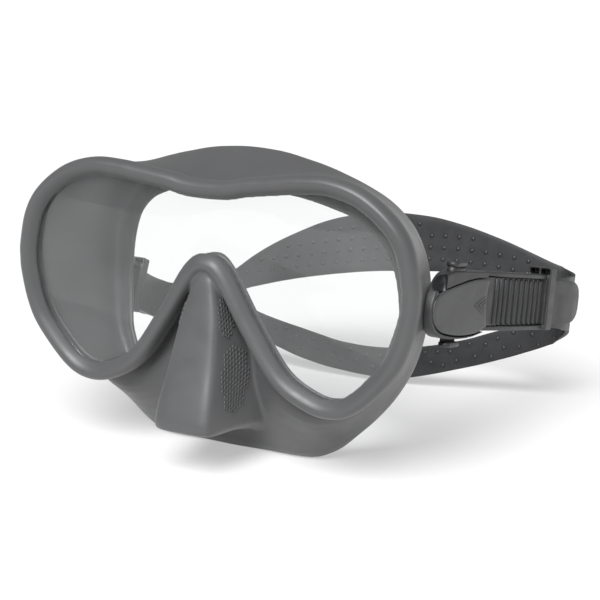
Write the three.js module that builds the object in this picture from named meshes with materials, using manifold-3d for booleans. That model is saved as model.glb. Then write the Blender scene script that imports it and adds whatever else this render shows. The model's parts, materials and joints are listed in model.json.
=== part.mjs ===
// Frameless diving mask: moulded silicone skirt with nose pocket, single tempered lens, split strap and
// two swivelling quick-release buckles. Millimetres, +Z up, the lens faces -Y.
import * as THREE from "three";
import { mergeVertices } from "three/addons/utils/BufferGeometryUtils.js";
import Module from "manifold-3d";

const wasm = await Module();
wasm.setup();

// ---------------------------------------------------------------- driving dimensions
// One row per rim station, from the middle of the brow round to the top of the nose arch:
// rim crest [x, z], widest line of the skirt [x, y, z], free edge of the face seal [x, y, z].
const ROWS = [
  [[0, 35.5], [0, 36, 47.6], [0, 31, 33]],
  [[9, 36], [10, 36, 47.1], [8, 31, 32.7]],
  [[15, 37.3], [17, 36, 46.2], [15, 31, 32.2]],
  [[22, 38.3], [24, 36.3, 44.6], [22, 31.5, 31.2]],
  [[29, 39.2], [31, 36.8, 42.8], [29, 32.5, 29.7]],
  [[36, 40.1], [38, 37.5, 40.4], [36, 34, 27.5]],
  [[48, 40.4], [48, 39, 36], [43.5, 37.5, 24]],
  [[60, 37], [57.5, 40.5, 30.3], [50, 40.5, 18.5]],
  [[71, 29], [65, 42, 22.5], [54.5, 43.5, 12]],
  [[77, 20], [69.5, 43.5, 13], [57.5, 45.5, 4]],
  [[79.8, 8], [71.5, 44.5, 4], [59, 46.5, -4]],
  [[80, 2], [72, 44.5, -3], [59.5, 46.5, -9]],
  [[79.6, -3], [72, 44, -9], [59.5, 46.5, -14]],
  [[77, -14], [71, 42.5, -20], [58, 44.5, -22]],
  [[72.3, -23.5], [68.5, 40.5, -31], [55.5, 41, -31]],
  [[61, -36], [63.5, 38.5, -41.5], [50, 37.5, -40.5]],
  [[52, -40.3], [57.5, 36, -50], [44, 34, -47]],
  [[42, -39], [50.5, 33, -57.5], [37, 32, -52.5]],
  [[29.5, -31.5], [42, 29.5, -64.8], [29, 31, -56.5]],
  [[17, -13.8], [30, 27.5, -69], [20, 31.5, -58.5]],
  [[6.3, 3.6], [14, 27, -69], [10, 31.5, -59]],
  [[0, 7.4], [0, 26, -68.4], [0, 31.5, -59]],
];
const STATIONS = 2 * (2 * ROWS.length - 2);
const SKIRT_T = 2; // wall of the skirt
const SEAL_DEPTH = 5; // how far the seal rolls back behind the widest line
const CHEEK_BULGE = 8; // how far the lower wall swells forward of a straight line
const CLEAR = 0.3; // running and assembly clearance
// Rim bead section [outward from the crest, depth behind it], groove side first.
const BEAD = [[-4.2, 4.1], [-2.2, 1], [0, 0], [1.8, 1], [2.9, 3.6], [2.4, 7.5], [0.7, 11]];
const SEAT = [[-3.2, 9.9], [-3.2, 8.5], [-1, 8.5], [-1, 5.3]];
const LENS_FRONT = [-4.6, 4.5]; // flat front face of the lens
const LENS_EDGE = [-1.3, 5.6]; // foot of the edge bevel
const LENS_BACK = 8.2;
// Nose pocket levels [z, ridge depth, ridge half width, root half width, root depth].
const NOSE = [
  [4.2, 1.5, 3.2, 4.5, 12],
  [1.2, 0.4, 4.5, 6, 12.2],
  [-3, -0.7, 5.8, 8.5, 12.2],
  [-13, -3.7, 8.2, 12, 12.2],
  [-28, -8.5, 10, 16.5, 12.3],
  [-43, -14.3, 11.4, 18, 15.2],
  [-50.2, -16, 11.4, 18.5, 18.7],
  [-52.7, -12, 10.8, 18.5, 20],
  [-54, -3, 10, 18.5, 20.6],
  [-56.5, 10, 9.5, 18.5, 21.9],
  [-59, 19.2, 9, 18, 23.6],
];
const NOSE_LEVELS = 20;
const NOSE_FLOOR = -53.2; // lowest level of the room inside the nose pocket
const NOSE_OPEN = 8; // how far that room runs on behind the skirt's wall
// Swivel axis of the strap, parallel to X.
const PIVOT_Y = 30.2;
const PIVOT_Z = -1.1;
const TILT_PLUS = -10.5; // degrees the strap drops towards the back at +X
const TILT_MINUS = -22.5;
const BAND_TILT = -19.2; // tilt towards which the band at the back leans at -X
const TWIST = [58, 84]; // distances from the middle between which it takes up the side's tilt
const SIDES = [
  { name: "L", s: 1, tilt: TILT_PLUS },
  { name: "R", s: -1, tilt: TILT_MINUS },
];
const EAR_X = [79.8, 81.8];
const EAR_R = 8;
const EAR_ROOT = [79.5, [5.5, 10.5]]; // inner side and depth range of the ear's root in the rim
const PIN_R = 3;
const POD_X = [82.1, 83.6]; // base plate of the buckle
// Outline of the buckle from its top rear round the front to its bottom rear [behind the pivot, up].
const POD_LINE = [
  [18, 11.1], [9, 11], [0, 10.8], [-8, 10.3], [-14.2, 7.8], [-18.6, 3.3], [-20.4, -2],
  [-19.8, -7.5], [-16.7, -11.2], [-10, -13], [0, -13.3], [9, -12.8], [18, -11.1],
];
const COVER_LINE = [
  [16.5, 8.5], [7.4, 7.8], [-5.8, 5.2], [-14, 2.9], [-17.9, 0.6], [-19.2, -3.2],
  [-17.8, -7.4], [-13.4, -10.4], [-6.3, -11.7], [2.9, -12.1], [12, -11.4], [15.5, -10.4],
];
const COVER_REAR = [[20, -8.8], [18, 1], [19.2, 7.8]];
const COVER_T = 1.4;
const COVER_SLOPE = 0.187;
const COVER_X0 = 89.1; // outside of the cover at the pivot
const RAIL_START = 13.4;
const RAIL_END = 80.5;
const RAIL_Z = [9.3, 11.1];
const RAIL_W = 3.4;
const BAR_Y = 74.5; // keeper loop at the rear end of the rails
const BAR_X = [3.5, 5];
const LOOP_TOP = 14.2;
const WINDOWS = [[-4.2, -0.4], [0.4, 4.2]]; // two pockets in the loop's front, over the rail
const WINDOW_TOP = 13.4;
const WINDOW_END = 79.2;
const ROLLER_Y = 24;
const ROLLER_R = 2.2;
const STRAP_T = 1.8;
const STRAP_HALF = 9;
const STRAP_GAP = 1.25; // layer centre from the rail centre line
const RIB_H = 0.9;
const RIB_PITCH = 4.3;
const RIB_COUNT = 10;
const BACK_Y = 120.8;
const CORNER_R = 7;
const FLARE = [2.8, 81, 108]; // sideways spread of the strap behind the rails, where it starts and ends
// Upper band at the back [distance along it from the middle, upper edge, lower edge].
const UPPER = [
  [-131, 8.8, -13], [-104, 10, -13], [-84, 11.5, -13], [-74, 13.4, -4], [-66, 15.6, 2.2], [-62, 17.6, 4.2],
  [-54, 23.4, 6], [-45, 28.3, 7.9], [-35, 32.4, 9.4], [-25, 35.9, 10.3], [-15, 37.9, 10.9], [-1, 38.8, 11.2],
  [10, 38.5, 11], [17, 37.5, 10.5], [30, 35.2, 9.9], [36, 33.8, 9.6], [50, 29.5, 9], [58, 26.7, 8.2],
  [69, 22.8, 6.4], [74, 20.9, 4.8], [80, 18.7, 0.5], [88, 15.9, -6], [97, 13, -13], [110, 10.6, -13], [133, 8.8, -13],
];
// Lower band [distance from the band's middle, upper edge, lower edge].
const LOWER_MID = 24;
const LOWER = [
  [0, -25.3, -39.6], [7, -25.2, -39.2], [18, -24, -37.3], [32, -21, -34], [38, -18.8, -32.4], [51, -14.4, -28],
  [65, -10, -22], [73, -7.3, -17], [80, -4.5, -13.8], [90, 1, -12], [125, 8, -8.8],
];
const TAIL_END = 114;
const TAIL_TAPER = 15; // length over which the tail's tip narrows
// Underside of the button pads, a stroke of 1.2 clear of the body.
const PAD_TOP = 12.2;
const PAD_BOTTOM = 14.6;
const PAD_T = 1.8;
const BUTTON_Y = [-4.8, 4.8];
const BUTTON_X = [83.9, 86];
const BUTTON_FOOT = 8.4; // inner end of a button's stem
const PAD_X = 85.9;
const PAD_REACH = 4;
const PAD_R = 2.6;
const PIN_X = [78, 79.5, 85]; // head, shoulder and tip of the swivel pin
const PIN_HEAD_R = 4.4;
const CAP_X = [83.9, 86];
const CAP_R = 4;
const SPRING_X = 85.1;
const PAWL_X = 86.8;
const PAWL_Y = 14;
const PAWL_HALF = 7;
const RAIL_X0 = 86; // rail centre line at the roller
const ROLLER_HALF = 9;

// ---------------------------------------------------------------- materials
const MATERIALS = {
  silicone: new THREE.MeshStandardMaterial({ name: "silicone", color: 0x5c5e60, roughness: 0.62 }),
  glass: new THREE.MeshStandardMaterial({
    name: "glass", color: 0xe4ecec, roughness: 0.04, transparent: true, opacity: 0.28,
  }),
  strap: new THREE.MeshStandardMaterial({ name: "strap", color: 0x45474a, roughness: 0.55 }),
  shell: new THREE.MeshStandardMaterial({ name: "shell", color: 0x3b3d3f, roughness: 0.5 }),
  cover: new THREE.MeshStandardMaterial({ name: "cover", color: 0x626466, roughness: 0.45 }),
  steel: new THREE.MeshStandardMaterial({ name: "steel", color: 0xb9bcbf, roughness: 0.3, metalness: 1 }),
};

// ---------------------------------------------------------------- mesh helpers
// Solid from triangles given as a flat list of Vector3; turned to face outwards.
function solidFrom(points, faces) {
  const build = (tri) => {
    const mesh = new wasm.Mesh({
      numProp: 3,
      vertProperties: new Float32Array(points.flatMap((p) => [p.x, p.y, p.z])),
      triVerts: new Uint32Array(tri),
    });
    mesh.merge();
    return new wasm.Manifold(mesh);
  };
  const made = build(faces);
  if (made.volume() > 0) return made;
  return build(faces.slice().reverse());
}

function solidOf(geometry) {
  const g = (geometry.index ? geometry.toNonIndexed() : geometry.clone());
  g.deleteAttribute("normal");
  g.deleteAttribute("uv");
  const m = mergeVertices(g, 1e-4);
  const v = m.attributes.position;
  const points = Array.from({ length: v.count }, (_, i) => new THREE.Vector3().fromBufferAttribute(v, i));
  return solidFrom(points, Array.from(m.index.array));
}

function geometryOf(solid) {
  const mesh = solid.getMesh();
  const g = new THREE.BufferGeometry();
  const step = mesh.numProp;
  const xyz = new Float32Array((mesh.vertProperties.length / step) * 3);
  for (let i = 0; i < xyz.length / 3; i += 1) {
    for (let k = 0; k < 3; k += 1) xyz[3 * i + k] = mesh.vertProperties[step * i + k];
  }
  g.setAttribute("position", new THREE.BufferAttribute(xyz, 3));
  g.setIndex(new THREE.BufferAttribute(new Uint32Array(mesh.triVerts), 1));
  const flat = g.toNonIndexed();
  flat.computeVertexNormals();
  return flat;
}

function meshOf(name, solid, material) {
  const mesh = new THREE.Mesh(geometryOf(solid), MATERIALS[material]);
  mesh.name = name;
  return mesh;
}

// Closed tube whose sections are closed rings of equal size; `closed` joins the last ring to the first.
function ringSolid(rings, closed) {
  const n = rings[0].length;
  const points = rings.flat();
  const faces = [];
  const last = closed ? rings.length : rings.length - 1;
  for (let i = 0; i < last; i += 1) {
    const a = i * n;
    const b = ((i + 1) % rings.length) * n;
    for (let j = 0; j < n; j += 1) {
      const k = (j + 1) % n;
      faces.push(a + j, b + j, b + k, a + j, b + k, a + k);
    }
  }
  if (!closed) {
    const end = (rings.length - 1) * n;
    for (const [from, flip] of [[0, false], [end, true]]) {
      for (const [p, q, r] of capOf(points.slice(from, from + n))) {
        faces.push(from + p, from + (flip ? r : q), from + (flip ? q : r));
      }
    }
  }
  return solidFrom(points, faces);
}

// Triangles that fill one planar ring.
function capOf(ring) {
  const normal = new THREE.Vector3();
  ring.forEach((p, i) => normal.add(new THREE.Vector3().crossVectors(p, ring[(i + 1) % ring.length])));
  const turn = new THREE.Quaternion().setFromUnitVectors(normal.normalize(), new THREE.Vector3(0, 0, 1));
  const flat = ring.map((p) => {
    const q = p.clone().applyQuaternion(turn);
    return new THREE.Vector2(q.x, q.y);
  });
  return THREE.ShapeUtils.triangulateShape(flat, []).map(([a, b, c]) => {
    const turned = THREE.ShapeUtils.area([flat[a], flat[b], flat[c]]) < 0;
    return turned ? [a, c, b] : [a, b, c];
  });
}

function box(x, y, z) {
  const g = new THREE.BoxGeometry(x[1] - x[0], y[1] - y[0], z[1] - z[0]);
  g.translate((x[0] + x[1]) / 2, (y[0] + y[1]) / 2, (z[0] + z[1]) / 2);
  return solidOf(g);
}

function cylinderX(r, x, y, z, sides = 24) {
  const g = new THREE.CylinderGeometry(r, r, x[1] - x[0], sides);
  g.rotateZ(Math.PI / 2);
  g.translate((x[0] + x[1]) / 2, y, z);
  return solidOf(g);
}

function cylinderZ(r, x, y, z, sides = 20) {
  const g = new THREE.CylinderGeometry(r, r, z[1] - z[0], sides);
  g.rotateX(Math.PI / 2);
  g.translate(x, y, (z[0] + z[1]) / 2);
  return solidOf(g);
}

// Shape drawn in the YZ plane, pushed along X.
function plateX(shape, x, bevel = 0) {
  const g = new THREE.ExtrudeGeometry(shape, {
    depth: x[1] - x[0] - 2 * bevel,
    bevelEnabled: bevel > 0,
    bevelThickness: bevel,
    bevelSize: bevel,
    bevelOffset: -bevel,
    bevelSegments: 2,
    curveSegments: 8,
  });
  g.translate(0, 0, x[0] + bevel);
  g.applyMatrix4(new THREE.Matrix4().set(0, 0, 1, 0, 1, 0, 0, 0, 0, 1, 0, 0, 0, 0, 0, 1));
  return solidOf(g);
}

// The solid with a matrix applied to its vertices.
function moved(solid, matrix) {
  const g = geometryOf(solid);
  g.applyMatrix4(matrix);
  return solidOf(g);
}

const mirrorX = (solid, s) => (s > 0 ? solid : moved(solid, new THREE.Matrix4().makeScale(-1, 1, 1)));
const mirrorZ = (solid, k) => (k > 0 ? solid : moved(solid, new THREE.Matrix4().makeScale(1, 1, -1)));
const lerp = (a, b, t) => a + (b - a) * t;

function table(rows, x, column) {
  if (x <= rows[0][0]) return rows[0][column];
  for (let i = 1; i < rows.length; i += 1) {
    if (x <= rows[i][0]) {
      const t = (x - rows[i - 1][0]) / (rows[i][0] - rows[i - 1][0]);
      return lerp(rows[i - 1][column], rows[i][column], t);
    }
  }
  return rows[rows.length - 1][column];
}

// ---------------------------------------------------------------- rim stations
function closedLoop(pick) {
  const half = ROWS.map(pick);
  const back = half.slice(1, -1).reverse().map(([x, y, z]) => [-x, y, z]);
  const points = [...half, ...back].map((p) => new THREE.Vector3(...p));
  const curve = new THREE.CatmullRomCurve3(points, true, "catmullrom", 0.5);
  return curve.getPoints(STATIONS).slice(0, STATIONS);
}

const CREST = closedLoop(([c]) => [c[0], 0, c[1]]);
const WIDEST = closedLoop(([, f]) => f);
const SEAL = closedLoop(([, , l]) => l);
const OUTWARD = CREST.map((_, i) => {
  const t = CREST[(i + 1) % STATIONS].clone().sub(CREST[(i + STATIONS - 1) % STATIONS]);
  return new THREE.Vector3(-t.z, 0, t.x).normalize();
});

const offsetRing = ([d, y]) => CREST.map((c, i) => c.clone().addScaledVector(OUTWARD[i], d).setY(y));
const blend = (a, b, t) => a.map((p, i) => p.clone().lerp(b[i], t));

// Same rings moved by `t` along the normal of the surface they span.
function thicken(rings, t) {
  return rings.map((ring, j) => {
    const up = rings[Math.max(0, j - 1)];
    const down = rings[Math.min(rings.length - 1, j + 1)];
    return ring.map((p, i) => {
      const along = ring[(i + 1) % STATIONS].clone().sub(ring[(i + STATIONS - 1) % STATIONS]);
      const across = down[i].clone().sub(up[i]);
      return p.clone().addScaledVector(along.cross(across).normalize(), t);
    });
  });
}

// ---------------------------------------------------------------- skirt and lens
function skirtWall() {
  const neck = offsetRing(BEAD[BEAD.length - 1]);
  const rolled = blend(WIDEST, SEAL, 0.42).map((p, i) => p.setY(WIDEST[i].y + SEAL_DEPTH));
  const middle = blend(neck, WIDEST, 0.5).map((p, i) => {
    const low = THREE.MathUtils.smoothstep(-WIDEST[i].z, 20, 60);
    return p.setY(p.y - CHEEK_BULGE * low);
  });
  const outside = [neck, middle, WIDEST, rolled, SEAL];
  const inside = thicken(outside, -SKIRT_T).reverse();
  const loops = [...BEAD.slice(0, -1).map(offsetRing), ...outside, ...inside, ...SEAT.map(offsetRing)];
  return ringSolid(CREST.map((_, i) => loops.map((loop) => loop[i])), true);
}

function noseLevel(t) {
  const rows = NOSE.map(([z, yf, w, root, yb]) => [new THREE.Vector3(z, yf, w), new THREE.Vector3(root, yb, 0)]);
  const front = new THREE.CatmullRomCurve3(rows.map((r) => r[0])).getPoint(t);
  const back = new THREE.CatmullRomCurve3(rows.map((r) => r[1])).getPoint(t);
  return { z: front.x, yf: front.y, w: front.z, root: back.x, yb: back.y };
}

function noseRing({ z, yf, w, root, yb }) {
  const side = [
    [root, yb],
    [lerp(root, w, 0.55) - 0.8, lerp(yb, yf, 0.45)],
    [w + 0.2, yf + 3.6],
    [w * 0.86, yf + 1],
    [w * 0.45, yf + 0.1],
  ];
  const other = side.slice().reverse().map(([x, y]) => [-x, y]);
  return [...side, ...other].map(([x, y]) => new THREE.Vector3(x, y, z));
}

function noseOuter() {
  const rings = Array.from({ length: NOSE_LEVELS }, (_, i) => noseRing(noseLevel(i / (NOSE_LEVELS - 1))));
  return ringSolid(rings, false);
}

// Room inside the pocket: the outside moved inwards, its floor raised by the wall's thickness.
function noseInner() {
  const rings = [];
  for (let i = 1; i < NOSE_LEVELS; i += 1) {
    const l = noseLevel(i / (NOSE_LEVELS - 1));
    const z = l.z + SKIRT_T * THREE.MathUtils.smoothstep(-l.z, 43, 51);
    const room = { z, yf: l.yf + SKIRT_T, w: l.w - SKIRT_T, root: l.root - 1.2 * SKIRT_T, yb: l.yb + NOSE_OPEN };
    if (z > NOSE_FLOOR) rings.push(noseRing(room));
  }
  return ringSolid(rings, false);
}

function ear(s) {
  const shape = new THREE.Shape();
  shape.moveTo(EAR_ROOT[1][0], PIVOT_Z - EAR_R);
  shape.lineTo(PIVOT_Y, PIVOT_Z - EAR_R);
  shape.absarc(PIVOT_Y, PIVOT_Z, EAR_R, -Math.PI / 2, Math.PI / 2, false);
  shape.lineTo(EAR_ROOT[1][0], PIVOT_Z + EAR_R);
  shape.closePath();
  const root = box([EAR_ROOT[0], EAR_X[1]], EAR_ROOT[1], [PIVOT_Z - EAR_R, PIVOT_Z + EAR_R]);
  const tab = plateX(shape, EAR_X).add(root);
  return mirrorX(tab.subtract(cylinderX(PIN_R + CLEAR, [EAR_X[0] - 1, EAR_X[1] + 1], PIVOT_Y, PIVOT_Z)), s);
}

function skirt() {
  let body = skirtWall().add(noseOuter()).subtract(noseInner());
  for (const { s } of SIDES) body = body.add(ear(s));
  return meshOf("skirt", body, "silicone");
}

function lens() {
  const rings = [LENS_FRONT, LENS_EDGE, [LENS_EDGE[0], LENS_BACK]].map(offsetRing);
  return meshOf("lens", ringSolid(rings, false), "glass");
}

// ---------------------------------------------------------------- strap path
// Centre line of the buckle rails, seen from above: x for a distance y behind the pivot.
function railX(y) {
  const t = y - ROLLER_Y;
  return RAIL_X0 + 0.27 * t - 0.0014 * t * t;
}

function tiltAt(x) {
  const across = lerp(BAND_TILT, TILT_PLUS, THREE.MathUtils.smoothstep(x, -TWIST[1], TWIST[1]));
  return THREE.MathUtils.degToRad(lerp(across, TILT_MINUS, THREE.MathUtils.smoothstep(-x, ...TWIST)));
}

// Point in the strap's own level frame to the mask frame.
function laid(x, y, z) {
  const a = tiltAt(x);
  const c = Math.cos(a);
  const d = Math.sin(a);
  return new THREE.Vector3(x, PIVOT_Y + y * c - z * d, PIVOT_Z + y * d + z * c);
}

// One station of a band: plan point, plan normal, thickness each side of it, height range.
const sectionOf = (p, place) => [
  place(p.x + p.nx * p.out, p.y + p.ny * p.out, p.top),
  place(p.x - p.nx * p.in, p.y - p.ny * p.in, p.top),
  place(p.x - p.nx * p.in, p.y - p.ny * p.in, p.bottom),
  place(p.x + p.nx * p.out, p.y + p.ny * p.out, p.bottom),
];

const bandSolid = (stations, place) => ringSolid(stations.map((p) => sectionOf(p, place)), false);

// Stations along the rail line at an offset, from y0 to y1.
function railStations(y0, y1, steps, common) {
  return Array.from({ length: steps + 1 }, (_, i) => {
    const y = lerp(y0, y1, i / steps);
    const slope = 0.27 - 0.0028 * (y - ROLLER_Y);
    const k = Math.hypot(1, slope);
    return { x: railX(y), y, nx: 1 / k, ny: -slope / k, ...common };
  });
}

// Sideways spread of the strap at a distance behind the pivot.
const flare = (y) => FLARE[0] * THREE.MathUtils.smoothstep(y, FLARE[1], FLARE[2]);

// Half of the strap on +X: tail tip, ribbed layer, roller turn, plain layer, corner, middle of the back.
function strapHalf() {
  const half = STRAP_T / 2;
  const line = [];
  const spread = (y) => lerp(ROLLER_R + CLEAR + half, STRAP_GAP, THREE.MathUtils.smoothstep(y, ROLLER_Y, 44));
  const put = (y, side, rib) => {
    const [r] = railStations(y, y, 1, {});
    const d = side * spread(y);
    line.push({ x: r.x + flare(y) + r.nx * d, y: y + r.ny * d, side, rib, rail: y });
  };
  for (const y of [TAIL_END, 112, 109, 104, 98, 92, 86, 80]) put(y, 1, 0);
  for (let i = RIB_COUNT - 1; i >= 0; i -= 1) {
    const y = ROLLER_Y + 8 + i * RIB_PITCH;
    for (const [d, rib] of [[1.3, 0], [0.7, 1], [-0.7, 1], [-1.3, 0]]) put(y + d, 1, rib);
  }
  const [r] = railStations(ROLLER_Y, ROLLER_Y, 1, {});
  const turn = ROLLER_R + CLEAR + half;
  for (let i = 0; i <= 10; i += 1) {
    const a = (i / 10) * Math.PI;
    const c = Math.cos(a) * turn;
    const d = -Math.sin(a) * turn;
    line.push({ x: r.x + r.nx * c - r.ny * d, y: ROLLER_Y + r.ny * c + r.nx * d, side: 0, rib: 0 });
  }
  for (const y of [30, 37, 46, 58, 72, 84, 90, 96, 102, 108]) put(y, -1, 0);
  const cx = line[line.length - 1].x - CORNER_R;
  const cy = BACK_Y - CORNER_R;
  for (let i = 0; i <= 8; i += 1) {
    const a = (i / 8) * (Math.PI / 2);
    line.push({ x: cx + Math.cos(a) * CORNER_R, y: cy + Math.sin(a) * CORNER_R, side: -1, rib: 0 });
  }
  for (const x of [88, 80, 73, 66, 59, 52, 44, 35, 26, 17, 8]) line.push({ x, y: BACK_Y, side: -1, rib: 0 });
  return line;
}

// Both halves with plan normals (pointing to the right of the direction of travel) and heights.
function strapStations() {
  const right = strapHalf();
  const left = right.slice().reverse().map((p) => ({ ...p, x: -p.x }));
  const line = [...right, { x: 0, y: BACK_Y, rib: 0 }, ...left];
  const stations = line.map((p, i) => {
    const a = line[Math.max(0, i - 1)];
    const b = line[Math.min(line.length - 1, i + 1)];
    const k = Math.hypot(b.x - a.x, b.y - a.y);
    const nx = -(b.y - a.y) / k;
    const ny = (b.x - a.x) / k;
    const bend = Math.max(0, BACK_Y - p.y);
    const upper = p.x + Math.sign(p.x) * bend;
    const lower = Math.abs(p.x - LOWER_MID) + bend;
    const onBack = p.side !== 1 && p.y > 94;
    const top = onBack ? table(UPPER, upper, 1) : STRAP_HALF;
    const bottom = onBack ? table(LOWER, lower, 2) : -STRAP_HALF;
    const trim = p.side === 1 ? 5 * THREE.MathUtils.smoothstep(p.rail, TAIL_END - TAIL_TAPER, TAIL_END) : 0;
    return {
      x: p.x, y: p.y, nx, ny, top: top - trim, bottom: bottom + trim,
      gapTop: table(UPPER, upper, 2), gapBottom: table(LOWER, lower, 1),
      out: STRAP_T / 2 + (p.rib ? RIB_H : 0), in: STRAP_T / 2,
    };
  });
  return stations;
}

function strap() {
  const stations = strapStations();
  const isOpen = (p) => p.gapTop > p.gapBottom + 0.5 && p.gapTop < p.top && p.gapBottom > p.bottom;
  const opening = stations
    .filter((p) => p.y > BACK_Y - CORNER_R && isOpen(p))
    .map((p) => ({ ...p, out: 4, in: 4, top: p.gapTop, bottom: p.gapBottom }));
  const body = bandSolid(stations, laid).subtract(bandSolid(opening, laid));
  return meshOf("strap", body, "strap");
}

// ---------------------------------------------------------------- buckle
const local = (x, y, z) => new THREE.Vector3(x, y, z);

// Smooth curve through the outline's points, moved inwards by `inset` and closed by the `rear` points.
function outlineShape(points, inset, rear) {
  const curve = new THREE.CatmullRomCurve3(points.map(([y, z]) => new THREE.Vector3(y, z, 0)));
  const count = 30;
  const line = Array.from({ length: count + 1 }, (_, i) => {
    const p = curve.getPointAt(i / count);
    const t = curve.getTangentAt(i / count);
    return new THREE.Vector2(p.x - t.y * inset, p.y + t.x * inset);
  });
  return new THREE.Shape([...line, ...rear.map(([y, z]) => new THREE.Vector2(y, z))]);
}

const podShape = () => outlineShape(POD_LINE, 0, []);
const coverShape = (inset) => outlineShape(COVER_LINE, inset, inset ? [[30, -10], [30, 8]] : COVER_REAR);

// Everything outside a plane that lies parallel to the cover, `depth` under its outer face.
function aboveCover(depth) {
  const g = new THREE.BoxGeometry(20, 90, 40);
  g.translate(10, 0, 0);
  g.rotateZ(-Math.atan(COVER_SLOPE));
  g.translate(COVER_X0 - depth, 0, 0);
  return solidOf(g);
}

function buckleBody() {
  const seat = plateX(coverShape(-CLEAR), [POD_X[1], 101]).intersect(aboveCover(COVER_T + CLEAR));
  let body = plateX(podShape(), [POD_X[0], 99])
    .subtract(aboveCover(0.2))
    .subtract(seat)
    .subtract(plateX(coverShape(1), [POD_X[1], 100]));
  const rail = { in: RAIL_W, out: RAIL_W };
  for (const k of [-1, 1]) {
    const [low, high] = k > 0 ? RAIL_Z : [-RAIL_Z[1], -RAIL_Z[0]];
    const end = { in: BAR_X[1], out: BAR_X[1], bottom: low, top: k > 0 ? LOOP_TOP : high };
    const arm = railStations(RAIL_START, RAIL_END, 10, { ...rail, bottom: low, top: high });
    body = body.add(bandSolid(arm, local)).add(bandSolid(railStations(BAR_Y, RAIL_END, 2, end), local));
    const height = k > 0 ? [4, 20] : [-20, -4];
    const gapX = [BUTTON_X[0] - CLEAR / 2, BUTTON_X[1] + CLEAR];
    body = body.subtract(box(gapX, [BUTTON_Y[0] - CLEAR, BUTTON_Y[1] + CLEAR], height));
  }
  for (const [low, high] of [BAR_X, [-BAR_X[1], -BAR_X[0]]]) {
    const bar = { in: -low, out: high, bottom: -RAIL_Z[1], top: RAIL_Z[1] };
    body = body.add(bandSolid(railStations(BAR_Y, RAIL_END, 2, bar), local));
  }
  for (const [low, high] of WINDOWS) {
    const window = { in: -low, out: high, bottom: RAIL_Z[1], top: WINDOW_TOP };
    body = body.subtract(bandSolid(railStations(BAR_Y - 1, WINDOW_END, 2, window), local));
  }
  body = body.subtract(cylinderX(PIN_R + CLEAR, [POD_X[0] - 1, POD_X[1] + 1], 0, 0));
  const x = railX(ROLLER_Y);
  body = body.subtract(cylinderZ(1.5, x, ROLLER_Y, [-10.8, 10.8]));
  return body.subtract(cylinderZ(1.1, PAWL_X, PAWL_Y, [-11, 10.6], 16));
}

function cover() {
  const plate = plateX(coverShape(0), [-COVER_T, 0], 0.4);
  const turn = new THREE.Matrix4().makeRotationZ(-Math.atan(COVER_SLOPE));
  return moved(plate, turn.setPosition(COVER_X0, 0, 0));
}

function swivelPin() {
  const [head, shoulder, tip] = PIN_X;
  const profile = [
    [0, head], [PIN_HEAD_R, head], [PIN_HEAD_R, shoulder], [PIN_R, shoulder], [PIN_R, tip], [0, tip],
  ];
  const g = new THREE.LatheGeometry(profile.map(([r, x]) => new THREE.Vector2(r, x)), 28);
  g.rotateZ(-Math.PI / 2);
  return solidOf(g);
}

function swivelCap() {
  const bore = cylinderX(PIN_R + CLEAR, [CAP_X[0] - 1, PIN_X[2] + CLEAR], 0, 0, 28);
  return cylinderX(CAP_R, CAP_X, 0, 0, 24).subtract(bore);
}

// Push button: a stem through the wall of the body with a rounded pad on it.
function button(k) {
  const foot = k > 0 ? PAD_TOP : PAD_BOTTOM;
  const stem = box(BUTTON_X, BUTTON_Y, [BUTTON_FOOT, foot + 1]);
  const shape = new THREE.Shape();
  shape.absarc(-PAD_REACH, 0, PAD_R, Math.PI / 2, (3 * Math.PI) / 2, false);
  shape.absarc(PAD_REACH, 0, PAD_R, -Math.PI / 2, Math.PI / 2, false);
  shape.closePath();
  const g = new THREE.ExtrudeGeometry(shape, {
    depth: PAD_T - 1,
    bevelEnabled: true,
    bevelThickness: 0.5,
    bevelSize: 0.5,
    bevelOffset: -0.5,
    bevelSegments: 1,
    curveSegments: 6,
  });
  g.applyMatrix4(new THREE.Matrix4().set(0, -1, 0, PAD_X, 1, 0, 0, 0, 0, 0, 1, foot + 0.5, 0, 0, 0, 1));
  return mirrorZ(stem.add(solidOf(g)), k);
}

// Coil spring between the cap of the swivel pin and the foot of a button.
function spring(k) {
  const turns = 2;
  const steps = 20;
  const rings = Array.from({ length: steps + 1 }, (_, i) => {
    const t = i / steps;
    const a = t * turns * 2 * Math.PI;
    const out = new THREE.Vector3(Math.cos(a), Math.sin(a), 0);
    const mid = out.clone().multiplyScalar(0.85).add(new THREE.Vector3(SPRING_X, 1, lerp(4.6, 6.3, t)));
    return Array.from({ length: 4 }, (_, j) => {
      const b = (j / 4) * 2 * Math.PI;
      return mid.clone().addScaledVector(out, 0.22 * Math.cos(b)).add(new THREE.Vector3(0, 0, 0.22 * Math.sin(b)));
    });
  });
  return mirrorZ(ringSolid(rings, false), k);
}

function pawl() {
  const span = [-PAWL_HALF, PAWL_HALF];
  const hub = cylinderZ(1.9, PAWL_X, PAWL_Y, span, 20);
  const arm = box([PAWL_X - 0.7, PAWL_X + 0.7], [PAWL_Y - 2.6, PAWL_Y + 5], span);
  return hub.add(arm).subtract(cylinderZ(1.1, PAWL_X, PAWL_Y, [-9, 9], 16));
}

function roller() {
  const x = railX(ROLLER_Y);
  const bore = cylinderZ(1.5, x, ROLLER_Y, [-11, 11], 16);
  return cylinderZ(ROLLER_R, x, ROLLER_Y, [-ROLLER_HALF, ROLLER_HALF], 24).subtract(bore);
}

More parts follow.
